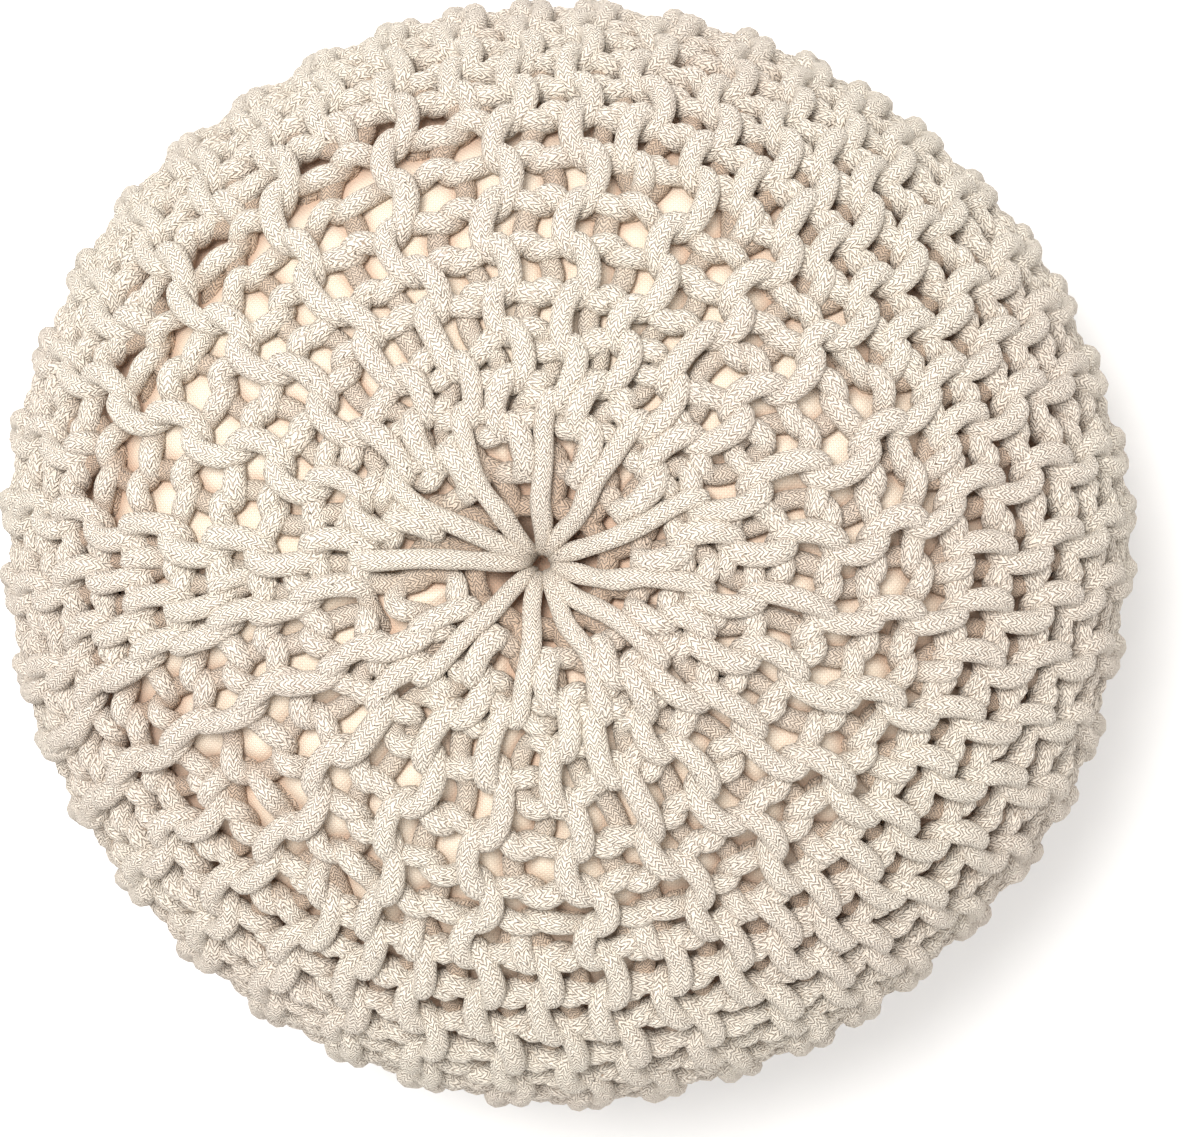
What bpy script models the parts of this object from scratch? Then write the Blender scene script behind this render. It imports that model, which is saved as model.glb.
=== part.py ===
"""Knitted pouf: a thick rope cover, ribbed from pole to pole and gathered at both ends, over a filled bag.

Units are metres, +Z is up, and the origin lies on the floor under the middle of the pouf. Angles are degrees
clockwise from +Y as seen from above. Both pieces are laid out on one lattice: its columns run from the top
gather down to the base gather, and its rings run around. "Along" is the distance down a column from the top.
"""
import math

import bmesh
import bpy
import numpy as np

COLLECTION_NAME = "knitted_pouf"

# Overall size, over the ribs of the cover.
HEIGHT = 0.334  # of the upright section, before the dimple is pressed into it
GIRTH_HEIGHT = 0.155
GIRTH_RADIUS = 0.2475
OUTLINE_WAVES = (
    # lobes, height, angle of a crest
    (2, 0.0034, 276.0),
    (3, 0.0012, 311.0),
)
ROUNDNESS = 2.3  # exponent of the upright section: 2 is an ellipse, more is boxier
BASE_PRESS = 0.020  # how much of the lower curve the floor flattens
DIMPLE_DEPTH = 0.010
DIMPLE_RADIUS = 0.035

# The knitting: two layers of rope thick on a rib, one and a half in the furrows.
COVER_THICKNESS = 0.020
FURROW_DEPTH = 0.0080
GATHER_HOLE_RADIUS = 0.006
BAG_CLEARANCE = 0.0004

# Distances along a column, from either gather, at which ribs start and at which their angles are given.
RELIEF_STARTS = 0.012
RELIEF_FULL = 0.070
MEDIUM_RIB_STARTS = 0.045
MEDIUM_RIB_FULL = 0.080
SHORT_RIB_STARTS = 0.140
SHORT_RIB_FULL = 0.180
GATHER_STATION = 0.025
CROWN_STATION = 0.110
GIRTH_STATION = 0.230
FLOOR_FADE = 0.035  # height over which the ribs flatten towards the floor

# One row for each repeat of the knitting: the angle of its full-length rib at the gather, on the crown and at
# the girth, and that of the medium rib after it, which starts beyond the gather.
REPEATS = (
    # full_gather, full_crown, full_girth, medium_crown, medium_girth
    (4.0, 7.0, 4.0, 22.0, 20.0),
    (38.0, 38.0, 34.5, 53.0, 48.0),
    (68.0, 70.0, 63.0, 84.0, 79.0),
    (98.0, 99.0, 93.0, 115.0, 108.0),
    (130.0, 129.0, 124.0, 143.0, 140.0),
    (160.0, 158.0, 153.0, 174.0, 170.0),
    (193.0, 191.0, 185.5, 208.0, 203.5),
    (228.0, 226.0, 222.0, 259.0, 257.0),
    (278.0, 272.0, 275.5, 289.0, 292.0),
    (303.0, 304.0, 309.0, 321.0, 325.5),
    (331.0, 336.0, 342.0, 351.0, 357.0),
)
SEAM_REPEAT = 7  # the sewn ends lie between this repeat's full and medium ribs
SEAM_ANGLES = (249.0, 243.0, 241.0)  # at the gather, on the crown and at the girth

# The lattice: four columns from each full or medium rib to the next, with a short rib halfway between the two.
# The last of these spaces is narrow and has no short rib.
COLUMNS_PER_RIB = 4
RING_ZONES = (
    # distance along, measured from the top or back from the base, and steps
    ("top", 0.080, 4),
    ("top", 0.150, 8),
    ("base", 0.150, 11),
    ("base", 0.080, 6),
    ("base", GATHER_HOLE_RADIUS, 3),
)
TOP_GAP_RINGS = (5, 7, 9, 11)  # every second ring of the second zone
BASE_GAP_RINGS = (25, 27, 29)  # and of the fourth
BAG_COLUMNS_STEP = 2

ROPE_COLOUR = (0.80, 0.72, 0.61, 1.0)
BAG_COLOUR = (0.82, 0.70, 0.57, 1.0)
COTTON_ROUGHNESS = 0.9


def smooth_step(low, high, value):
    """Ease from 0 at low to 1 at high."""
    share = min(max((value - low) / (high - low), 0.0), 1.0)
    return share * share * (3.0 - 2.0 * share)


class Meridian:
    """The upright section of the bag side of the cover, from the top pole to the base pole."""

    SAMPLES = 1441
    NORMAL_REACH = 0.002

    def __init__(self):
        turn = np.linspace(0.0, math.pi, self.SAMPLES)
        up = HEIGHT - COVER_THICKNESS - GIRTH_HEIGHT
        down = GIRTH_HEIGHT - COVER_THICKNESS + BASE_PRESS
        across = np.abs(np.sin(turn)) ** (2.0 / ROUNDNESS)
        rise = np.sign(np.cos(turn)) * np.abs(np.cos(turn)) ** (2.0 / ROUNDNESS)
        self.radius = (GIRTH_RADIUS - COVER_THICKNESS) * across
        self.height = GIRTH_HEIGHT + rise * np.where(rise > 0.0, up, down)
        dimple = DIMPLE_DEPTH * np.exp(-((self.radius / DIMPLE_RADIUS) ** 2))
        self.height -= np.where(rise > 0.0, dimple, 0.0)
        self.height = np.maximum(self.height, COVER_THICKNESS)
        steps = np.hypot(np.diff(self.radius), np.diff(self.height))
        self.along = np.concatenate(([0.0], np.cumsum(steps)))
        self.length = float(self.along[-1])

    def at(self, along):
        """Radius and height at a distance along."""
        return float(np.interp(along, self.along, self.radius)), float(np.interp(along, self.along, self.height))

    def normal(self, along):
        """Outward direction, as radial and upward parts."""
        before = self.at(max(along - self.NORMAL_REACH, 0.0))
        after = self.at(min(along + self.NORMAL_REACH, self.length))
        outward, upward = before[1] - after[1], after[0] - before[0]
        size = math.hypot(outward, upward)
        return outward / size, upward / size


def outline_factor(angle):
    """How far the uneven outline stands out at an angle, as a share of the girth radius."""
    waves = sum(height * math.cos(math.radians(lobes * (angle - crest))) for lobes, height, crest in OUTLINE_WAVES)
    return 1.0 + waves / GIRTH_RADIUS


def outline_middle():
    """The middle of the outline's box, which is moved onto the origin."""
    angles = range(360)
    east = [GIRTH_RADIUS * outline_factor(angle) * math.sin(math.radians(angle)) for angle in angles]
    north = [GIRTH_RADIUS * outline_factor(angle) * math.cos(math.radians(angle)) for angle in angles]
    return (min(east) + max(east)) / 2.0, (min(north) + max(north)) / 2.0


def surface_point(meridian, middle, angle, along, inset=0.0):
    """A point on the bag side of the cover, or inset below it."""
    radius, height = meridian.at(along)
    outward, upward = meridian.normal(along)
    reach = (radius - inset * outward) * outline_factor(angle)
    east = reach * math.sin(math.radians(angle)) - middle[0]
    north = reach * math.cos(math.radians(angle)) - middle[1]
    return east, north, height - inset * upward


def rib_table():
    """All full, medium and seam ribs in order, each as its level and its angles at the three stations."""
    ribs = []
    for index, (gather, crown, girth, medium_crown, medium_girth) in enumerate(REPEATS):
        ribs.append(("full", [gather, crown, girth]))
        if index == SEAM_REPEAT:
            ribs.append(("full", list(SEAM_ANGLES)))
        ribs.append(("medium", [None, medium_crown, medium_girth]))
    for index, (level, angles) in enumerate(ribs):
        if level == "medium":
            before = ribs[index - 1][1][0]
            after = ribs[(index + 1) % len(ribs)][1][0] + (360.0 if index + 1 == len(ribs) else 0.0)
            angles[0] = (before + after) / 2.0
    return ribs


def station_angle(angles, from_pole):
    """A rib's angle at a distance from the nearer pole."""
    return float(np.interp(from_pole, (GATHER_STATION, CROWN_STATION, GIRTH_STATION), angles))


def column_angles(ribs, from_pole):
    """The angle of every column at a distance from the nearer pole."""
    starts = [station_angle(angles, from_pole) for _, angles in ribs]
    ends = starts[1:] + [starts[0] + 360.0]
    return [
        start + (end - start) * step / COLUMNS_PER_RIB
        for start, end in zip(starts, ends)
        for step in range(COLUMNS_PER_RIB)
    ]


def furrow_waves(ribs):
    """For each column, how deep it lies (0 on a rib, 1 in a furrow) where each level of ribs is the finest."""
    count = len(ribs) * COLUMNS_PER_RIB
    crests = {
        "full": [i * COLUMNS_PER_RIB for i, (level, _) in enumerate(ribs) if level == "full"],
        "medium": list(range(0, count, COLUMNS_PER_RIB)),
        "short": list(range(0, count - COLUMNS_PER_RIB + 1, COLUMNS_PER_RIB // 2)),
    }
    waves = {}
    for level, columns in crests.items():
        waves[level] = []
        for column in range(count):
            before = max(crest for crest in columns if crest <= column)
            after = min([crest for crest in columns if crest > column] + [count + columns[0]])
            share = (column - before) / (after - before)
            waves[level].append((1.0 - math.cos(2.0 * math.pi * share)) / 2.0)
    return waves


def thickness_share(waves, column, from_pole, height):
    """The cover's thickness at a lattice point, as a share of its thickness on a rib."""
    medium = smooth_step(MEDIUM_RIB_STARTS, MEDIUM_RIB_FULL, from_pole)
    short = smooth_step(SHORT_RIB_STARTS, SHORT_RIB_FULL, from_pole)
    depth = (1.0 - medium) * waves["full"][column]
    depth += medium * (1.0 - short) * waves["medium"][column]
    depth += medium * short * waves["short"][column]
    depth *= smooth_step(RELIEF_STARTS, RELIEF_FULL, from_pole)
    depth *= smooth_step(0.0, FLOOR_FADE, height - COVER_THICKNESS)
    return 1.0 - depth * FURROW_DEPTH / COVER_THICKNESS


def ring_distances(meridian):
    """The distance along of every ring between the two gather holes."""
    rings = [GATHER_HOLE_RADIUS]
    for end, distance, steps in RING_ZONES:
        target = distance if end == "top" else meridian.length - distance
        rings += list(np.linspace(rings[-1], target, steps + 1)[1:])
    return rings


def new_lattice(columns, rings):
    """A UV sphere with its vertices and faces known by column and ring: ring 0 is the top pole."""
    lattice = bmesh.new()
    bmesh.ops.create_uvsphere(lattice, u_segments=columns, v_segments=rings, radius=1.0)
    places = {}
    for vert in lattice.verts:
        ring = round(math.acos(min(max(vert.co.z, -1.0), 1.0)) / math.pi * rings)
        column = round(math.atan2(vert.co.x, vert.co.y) / (2.0 * math.pi) * columns) % columns
        places[vert] = (column, ring)
    return lattice, places


def new_object(name, lattice, colour):
    """Store a lattice as a smooth object with its own cotton material."""
    mesh = bpy.data.meshes.new(name)
    lattice.to_mesh(mesh)
    lattice.free()
    mesh.shade_smooth()
    material = bpy.data.materials.new(name + "_cotton")
    material.use_nodes = True
    shader = material.node_tree.nodes["Principled BSDF"]
    shader.inputs["Base Color"].default_value = colour
    shader.inputs["Roughness"].default_value = COTTON_ROUGHNESS
    shader.inputs["Metallic"].default_value = 0.0
    mesh.materials.append(material)
    piece = bpy.data.objects.new(name, mesh)
    bpy.data.collections[COLLECTION_NAME].objects.link(piece)
    return piece


def gap_cells(ribs):
    """Column and ring of each cell left open between ribs, beside the furrow by turns. The seam is closed."""
    seam = SEAM_REPEAT * 2 + 1
    cells = set()
    for rib in range(len(ribs)):
        if rib in (seam - 1, seam):
            continue
        for rings in (TOP_GAP_RINGS, BASE_GAP_RINGS):
            for turn, ring in enumerate(rings):
                cells.add((rib * COLUMNS_PER_RIB + 1 + turn % 2, ring))
    return cells


def build_cover(meridian, middle):
    """The knitted cover: its bag side as an open surface, thickened outward, more on the ribs."""
    ribs = rib_table()
    waves = furrow_waves(ribs)
    columns = len(ribs) * COLUMNS_PER_RIB
    distances = ring_distances(meridian)
    lattice, places = new_lattice(columns, len(distances) + 1)
    poles = [vert for vert, (_, ring) in places.items() if ring in (0, len(distances) + 1)]
    bmesh.ops.delete(lattice, geom=poles, context="VERTS")

    gaps = gap_cells(ribs)
    open_faces = []
    for face in lattice.faces:
        corner_columns = {places[vert][0] for vert in face.verts}
        corner_ring = min(places[vert][1] for vert in face.verts)
        wraps = corner_columns == {0, columns - 1}
        corner_column = columns - 1 if wraps else min(corner_columns)
        if (corner_column, corner_ring) in gaps:
            open_faces.append(face)
    bmesh.ops.delete(lattice, geom=open_faces, context="FACES")

    shares = []
    lattice.verts.index_update()
    for vert in lattice.verts:
        column, ring = places[vert]
        along = distances[ring - 1]
        from_pole = min(along, meridian.length - along)
        angle = column_angles(ribs, from_pole)[column]
        vert.co = surface_point(meridian, middle, angle, along)
        shares.append(thickness_share(waves, column, from_pole, vert.co.z))

    cover = new_object("knitted_cover", lattice, ROPE_COLOUR)
    thickness_group = cover.vertex_groups.new(name="thickness")
    for index, share in enumerate(shares):
        thickness_group.add([index], share, "REPLACE")
    wall = cover.modifiers.new("Wall", "SOLIDIFY")
    wall.thickness = COVER_THICKNESS
    wall.offset = 1.0
    wall.use_rim = True
    wall.vertex_group = thickness_group.name
    return cover


def build_bag(meridian, middle):
    """The filled inner bag, just clear of the cover all round."""
    ribs = rib_table()
    columns = len(ribs) * COLUMNS_PER_RIB // BAG_COLUMNS_STEP
    distances = [0.0] + ring_distances(meridian) + [meridian.length]
    lattice, places = new_lattice(columns, len(distances) - 1)
    for vert, (column, ring) in places.items():
        along = distances[ring]
        from_pole = min(along, meridian.length - along)
        angle = column_angles(ribs, from_pole)[column * BAG_COLUMNS_STEP]
        vert.co = surface_point(meridian, middle, angle, along, BAG_CLEARANCE)
    return new_object("inner_bag", lattice, BAG_COLOUR)


def main():
    for old in list(bpy.data.objects):
        bpy.data.objects.remove(old, do_unlink=True)
    collection = bpy.data.collections.new(COLLECTION_NAME)
    bpy.context.scene.collection.children.link(collection)
    meridian = Meridian()
    middle = outline_middle()
    build_cover(meridian, middle)
    build_bag(meridian, middle)


main()
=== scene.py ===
"""The looks of the knitted pouf: its rope cover in real stitches, the cloth bag inside it, and the studio.

The cover is garter knitting laid sideways, so each rib is two rows of stitches that run from the top gather
to the base gather: a lower row, from the furrow before the rib to the rib's line, and an upper row, from the
rib's line to the furrow after it. At a rib's line the loops' heads and sinkers lie above their neighbours'
legs, in a furrow they lie below them. Angles are degrees clockwise from +Y as seen from above. "Along" is
the distance down the bag's upright section from the top, "from_pole" the distance from the nearer pole, and
"lift" the height above the bag. Everything is in metres.
"""

import math

import bpy
import numpy as np
from mathutils import Matrix, Vector

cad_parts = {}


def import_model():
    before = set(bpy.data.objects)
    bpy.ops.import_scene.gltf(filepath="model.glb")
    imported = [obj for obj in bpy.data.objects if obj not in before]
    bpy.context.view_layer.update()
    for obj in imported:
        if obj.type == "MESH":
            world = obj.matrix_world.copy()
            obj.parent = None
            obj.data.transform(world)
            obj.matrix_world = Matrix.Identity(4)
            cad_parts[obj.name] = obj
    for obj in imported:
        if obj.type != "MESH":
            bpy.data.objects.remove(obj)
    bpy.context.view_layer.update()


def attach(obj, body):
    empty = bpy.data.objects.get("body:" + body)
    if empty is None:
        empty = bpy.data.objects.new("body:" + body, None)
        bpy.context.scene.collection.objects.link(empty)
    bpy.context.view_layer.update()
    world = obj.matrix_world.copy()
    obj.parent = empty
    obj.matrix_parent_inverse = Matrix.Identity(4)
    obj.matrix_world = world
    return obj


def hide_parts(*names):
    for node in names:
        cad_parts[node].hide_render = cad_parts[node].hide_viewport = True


# ---- the pouf's form ----
HEIGHT = 0.334  # of the upright section, before the dimple is pressed into it
GIRTH_HEIGHT = 0.155
GIRTH_RADIUS = 0.2475
OUTLINE_WAVES = (
    # lobes, height, angle of a crest
    (2, 0.0034, 276.0),
    (3, 0.0012, 311.0),
)
ROUNDNESS = 2.3  # exponent of the upright section: 2 is an ellipse, more is boxier
BASE_PRESS = 0.020  # how much of the lower curve the floor flattens
DIMPLE_DEPTH = 0.010
DIMPLE_RADIUS = 0.035
COVER_THICKNESS = 0.020

# Angles of the ribs at three distances from either gather.
STATIONS = (0.025, 0.110, 0.230)
REPEATS = (
    # full_gather, full_crown, full_girth, medium_crown, medium_girth
    (4.0, 7.0, 4.0, 22.0, 20.0),
    (38.0, 38.0, 34.5, 53.0, 48.0),
    (68.0, 70.0, 63.0, 84.0, 79.0),
    (98.0, 99.0, 93.0, 115.0, 108.0),
    (130.0, 129.0, 124.0, 143.0, 140.0),
    (160.0, 158.0, 153.0, 174.0, 170.0),
    (193.0, 191.0, 185.5, 208.0, 203.5),
    (228.0, 226.0, 222.0, 259.0, 257.0),
    (278.0, 272.0, 275.5, 289.0, 292.0),
    (303.0, 304.0, 309.0, 321.0, 325.5),
    (331.0, 336.0, 342.0, 351.0, 357.0),
)
SEAM_REPEAT = 7
SEAM_RIBS = (
    # level, angles at the stations; they follow this repeat's full rib
    ("seam", (236.0, 245.5, 242.0)),
    ("slanted", (268.0, 261.0, 250.5)),
    ("late", (272.0, 266.0, 257.5)),
)
LATER_ANGLES = (268.0, 356.0)  # between these, the short ribs start one stitch farther out

# ---- the knitting ----
ROPE_RADIUS = 0.0047
FIRST_HEAD = 0.0835  # along, of the first loop's head
STITCH_PITCH = 0.038  # wanted; rounded so that a whole number fits
LEVELS = {
    # first stitch, where the rib starts, shift and stretch of its first loop, lean of the legs,
    # reach past its line, share of the first stitch that is left out
    "full": (0, 0.0, -0.0075, 1.0, 0.175, 0.0055, 0.24),
    "medium": (-1, 0.036, 0.0040, 0.6, 0.175, 0.0055, 0.24),
    "seam": (-1, 0.036, 0.0000, 0.8, 0.220, 0.0030, 0.24),
    "slanted": (0, 0.062, 0.0000, 1.2, 0.220, 0.0030, 0.30),
    "late": (2, 0.130, 0.0000, 1.0, 0.175, 0.0055, 0.40),
    "short": (3, 0.165, 0.0000, 1.0, 0.175, 0.0055, 0.40),
    "later": (4, 0.203, 0.0000, 1.0, 0.175, 0.0055, 0.40),
}
RIB_OPENS = (-0.010, 0.006)  # from where a rib starts, the stretch over which it opens to FIRST_WIDTH
FIRST_WIDTH = 0.7
RIB_GROWTH = 0.030  # distance over which it then opens to its full width
OPEN_WIDTH = 0.6  # from which a rib covers the ends of its neighbour's rows
POINTS_PER_STITCH = 24

RIB_LIFT = 0.0100  # mean lift of the ropes' centres at a rib's line
RIB_WAVE = 0.0042  # how far the upper and lower ropes there stand from that mean, until smoothed
FURROW_LIFT = 0.0082
FURROW_WAVE = 0.0034
WAVES_PER_STITCH = 3.0  # times that a rope goes over and under its neighbours
WAVE_SKEW = 0.45  # how far the crossings are drawn towards the legs
TAIL_LIFT = 0.0018  # a head's outer end lies over the next loop, its inner end under the one before
LOW_LIFT = 0.0044  # a rope that lies on the bag
CLOSED_SINKING = 0.8  # how near to that a short rib's rows lie before the rib opens
UNDER_SPOKE = (0.052, 0.060)  # distances over which a full rib's lower row rises off the bag

# The rows' ends that are tucked under their neighbours.
TUCK_POINTS = 9
TUCK_SHARE = 0.8  # of the way to the row's first loop
TUCK_DEPTH = 0.0100  # how far the end is pushed down into the soft bag
TUCK_RISE = 0.45  # share of the way over which it comes up again

# The spokes, the almost straight ropes from the full ribs to the gather.
SPOKE_POINTS = 24
SPOKE_LIFT = 0.0135
SPOKE_LOW = LOW_LIFT + 0.002  # lift near the gather
SPOKE_RISE = (0.010, 0.040)  # distances over which it rises to SPOKE_LIFT
SPOKE_END = 0.0032  # distance of its end from the pole
SPOKE_SPREAD = 0.0012
SPOKE_DIVE = 0.022  # how deep the end dives into the gather's hole
DIVE_STRETCH = (0.0022, 0.0095)
SPOKE_TURN = 0.016  # from here outward it leans towards the loop that it joins
SPOKE_BEND_PLACES = (0.018, 0.032, 0.046)
SPOKE_BEND = 0.0013
SPOKE_JOIN = 0.006  # left free for a smooth join to the loop
SPOKE_JOIN_TURN = 0.11  # share of a full rib's first upper stitch that its spoke replaces

# The unevenness that neighbouring ropes share.
RANDOM_SEED = 7
WANDERS = (
    # wavelength, reach
    (0.110, 0.0024),
    (0.036, 0.0009),
)
WANDER_GROWS = (0.010, 0.050)  # distances from a pole over which it sets in
OUTWARD_WANDER = 0.25  # share of it that is outward
LEAST_RADIUS = 0.010  # nearer a pole than this, a shift turns a rope no farther
POLE_MARGIN = 0.001

# ---- the ropes' meshes ----
ANGLE, ALONG, LIFT, PULL = 3, 4, 5, 6  # columns of a rope's rows, after x, y and z
SPACING = 0.0032
SMOOTHING_PASSES = 3  # they round the ropes' turns, and also flatten their waves
SIDES = 10
SIDE_GUIDE = (0.3, 0.5, 0.8)  # a direction that no rope sets out in
CAP = ((0, 1, 2, 3), (0, 3, 4, 9), (9, 4, 5, 8), (8, 5, 6, 7))  # a ten-sided end in four faces
COVER_PIECES = 5
LOW_THICKNESS = 0.99  # share of the rope's radius where it lies on the bag
SLACK_SWELLING = 0.08  # and how much more it has on a rib
PULL_THINNING = 0.15
GATHER_THINNING = 0.22
GATHER_EDGE = (0.004, 0.018)  # distances over which the gather squeezes the ropes
UNEVENNESS = 0.060
UNEVEN_POINTS = 3  # points from one change of thickness to the next
END_POINTS = 3.0  # points over which an end is rounded
END_SHARE = 0.4  # of a point's step that the end's own ring lies inside

# ---- the bag's mesh ----
BAG_COLUMNS = 384
BAG_RINGS = 190
BULGE = 0.0060  # how far the bag stands out between the ropes of the crown
SIDE_BULGE = -0.0030  # and between the denser ropes of the side
SIDE_STARTS = (0.165, 0.215)  # distances from a pole over which the one gives way to the other
BULGE_CURVE = 0.0052  # radius of the hollow that a rope presses in it
PRESSED_RINGS = 4  # to either side of a rope, that it may press down
PRESSED_COLUMNS = 9
BAG_PASSES = 3  # of smoothing
FUNNEL_DEPTH = 0.022  # of the bag at a gather's hole
FUNNEL_RADIUS = 0.014
FLAT_NEAR_POLE = (0.020, 0.050)  # distances over which the bulges set in
BAG_SINK = 0.0003


class Section:
    """The bag's upright section, from the top pole to the base pole."""

    SAMPLES = 1441
    NORMAL_REACH = 0.004

    def __init__(self):
        turn = np.linspace(0.0, math.pi, self.SAMPLES)
        up = HEIGHT - COVER_THICKNESS - GIRTH_HEIGHT
        down = GIRTH_HEIGHT - COVER_THICKNESS + BASE_PRESS
        across = np.abs(np.sin(turn)) ** (2.0 / ROUNDNESS)
        rise = np.sign(np.cos(turn)) * np.abs(np.cos(turn)) ** (2.0 / ROUNDNESS)
        self.radius = (GIRTH_RADIUS - COVER_THICKNESS) * across
        self.height = GIRTH_HEIGHT + rise * np.where(rise > 0.0, up, down)
        dimple = DIMPLE_DEPTH * np.exp(-((self.radius / DIMPLE_RADIUS) ** 2))
        self.height = np.maximum(self.height - np.where(rise > 0.0, dimple, 0.0), COVER_THICKNESS)
        steps = np.hypot(np.diff(self.radius), np.diff(self.height))
        self.along = np.concatenate(([0.0], np.cumsum(steps)))
        self.length = float(self.along[-1])

    def place(self, along, lift):
        """Radius and height of points lifted off the section."""
        radius = np.interp(along, self.along, self.radius)
        height = np.interp(along, self.along, self.height)
        before = np.clip(along - self.NORMAL_REACH, 0.0, self.length)
        after = np.clip(along + self.NORMAL_REACH, 0.0, self.length)
        outward = np.interp(before, self.along, self.height) - np.interp(after, self.along, self.height)
        upward = np.interp(after, self.along, self.radius) - np.interp(before, self.along, self.radius)
        size = np.hypot(outward, upward)
        return radius + lift * outward / size, height + lift * upward / size

    def from_pole(self, along):
        return np.minimum(along, self.length - along)


SECTION = Section()


def outline_factor(angle):
    """How far the uneven outline stands out at an angle, as a share of the girth radius."""
    waves = sum(
        height * np.cos(np.radians(lobes * (angle - crest))) for lobes, height, crest in OUTLINE_WAVES
    )
    return 1.0 + waves / GIRTH_RADIUS


def outline_middle():
    """The middle of the outline's box, which is at the origin."""
    angle = np.arange(360.0)
    reach = GIRTH_RADIUS * outline_factor(angle)
    east, north = reach * np.sin(np.radians(angle)), reach * np.cos(np.radians(angle))
    return np.array(((east.min() + east.max()) / 2.0, (north.min() + north.max()) / 2.0))


MIDDLE = outline_middle()


def on_bag(angle, along, lift):
    """Points above the bag, from their angle, distance along and lift."""
    radius, height = SECTION.place(along, lift)
    reach = radius * outline_factor(angle)
    east = reach * np.sin(np.radians(angle)) - MIDDLE[0]
    north = reach * np.cos(np.radians(angle)) - MIDDLE[1]
    return np.stack((east, north, height), axis=-1)


def smooth_step(low, high, value):
    """Ease from 0 at low to 1 at high."""
    share = np.clip((value - low) / (high - low), 0.0, 1.0)
    return share * share * (3.0 - 2.0 * share)


# ---- where the ribs run ----


def main_ribs():
    """Every rib but the short ones, in order round the pouf: level, and the angles at the three stations."""
    ribs = []
    for index, (gather, crown, girth, medium_crown, medium_girth) in enumerate(REPEATS):
        ribs.append(("full", (gather, crown, girth)))
        if index == SEAM_REPEAT:
            ribs += SEAM_RIBS
            continue
        last = index + 1 == len(REPEATS)
        following = REPEATS[(index + 1) % len(REPEATS)][0] + (360.0 if last else 0.0)
        ribs.append(("medium", ((gather + following) / 2.0, medium_crown, medium_girth)))
    return ribs


MAIN = main_ribs()
HEAD_COUNT = round((SECTION.length - 2.0 * FIRST_HEAD) / STITCH_PITCH) + 1
PITCH = (SECTION.length - 2.0 * FIRST_HEAD) / (HEAD_COUNT - 1)


class Rib:
    """One rib: a main rib, or the short rib that follows it."""

    def __init__(self, index, short=False):
        self.index = index
        level, angles = MAIN[index % len(MAIN)]
        if short:
            level = "later" if LATER_ANGLES[0] < angles[2] < LATER_ANGLES[1] else "short"
        self.level = level
        self.short = short
        self.first, self.start, self.shift, self.stretch, self.waist, self.reach, self.cut = LEVELS[level]

    def presence(self, from_pole):
        """0 before the rib starts, 1 once it has its full width."""
        if self.start == 0.0:
            return np.ones_like(from_pole)
        opening = smooth_step(self.start + RIB_OPENS[0], self.start + RIB_OPENS[1], from_pole)
        growth = smooth_step(self.start, self.start + RIB_GROWTH, from_pole)
        return opening * (FIRST_WIDTH + (1.0 - FIRST_WIDTH) * growth)

    def heads(self, extra=0):
        """Where along the rib its loops' heads lie."""
        stitches = np.arange(self.first - extra, HEAD_COUNT - self.first + extra)
        return FIRST_HEAD + PITCH * stitches


def main_angle(index, from_pole):
    """Angle of a main rib's line; the index may run on past a whole turn."""
    turns, place = divmod(index, len(MAIN))
    return np.interp(from_pole, STATIONS, MAIN[place][1]) + 360.0 * turns


def meeting(first, first_width, second, second_width):
    """The furrow between two neighbouring ribs, which lies at a rib that hasn't started."""
    total = first_width + second_width
    safe = np.where(total > 0.0, total, 1.0)
    weighed = (first * second_width + second * first_width) / safe
    return np.where(total > 0.0, weighed, (first + second) / 2.0)


def main_furrow(index, from_pole):
    """Where the furrow between a main rib and the next would lie without a short rib between them."""
    first, second = Rib(index), Rib(index + 1)
    return meeting(
        main_angle(index, from_pole),
        first.presence(from_pole),
        main_angle(index + 1, from_pole),
        second.presence(from_pole),
    )


def has_short(index):
    """No short rib follows the seam's two ribs, nor the last medium rib."""
    place = index % len(MAIN)
    return MAIN[place][0] not in ("seam", "slanted") and place != len(MAIN) - 1


def rib_lines(rib, from_pole):
    """Angles of the furrow before a rib, of the rib's line, and of the furrow after it."""
    index = rib.index
    if rib.short:
        line, width = main_furrow(index, from_pole), rib.presence(from_pole)
        first, second = Rib(index), Rib(index + 1)
        before = meeting(main_angle(index, from_pole), first.presence(from_pole), line, width)
        after = meeting(line, width, main_angle(index + 1, from_pole), second.presence(from_pole))
        return before, line, after
    line, width = main_angle(index, from_pole), rib.presence(from_pole)
    before, after = main_furrow(index - 1, from_pole), main_furrow(index, from_pole)
    if has_short(index - 1):
        before = meeting(before, Rib(index - 1, True).presence(from_pole), line, width)
    if has_short(index):
        after = meeting(line, width, after, Rib(index, True).presence(from_pole))
    return before, line, after


def line_before(rib, from_pole):
    """Angle of the open rib before this one, under which this one's rope comes out."""
    index = rib.index if rib.short else rib.index - 1
    while Rib(index).presence(from_pole) < OPEN_WIDTH:
        index -= 1
    return main_angle(index, from_pole)


# ---- the rows' ropes, as rows of angle, along, lift and pull, 1 where a rope is drawn taut ----


def drawn_out(along, heads, rib):
    """Along, with a rib's first and last loops shifted and stretched."""
    for head, inward in ((heads[0], 1.0), (heads[-1], -1.0)):
        inside = inward * (along - head)
        inside = np.where(inside < 0.0, rib.stretch * inside, inside)
        inside = inside + rib.shift * (1.0 - smooth_step(0.0, PITCH, inside))
        along = head + inward * inside
    return along


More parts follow.
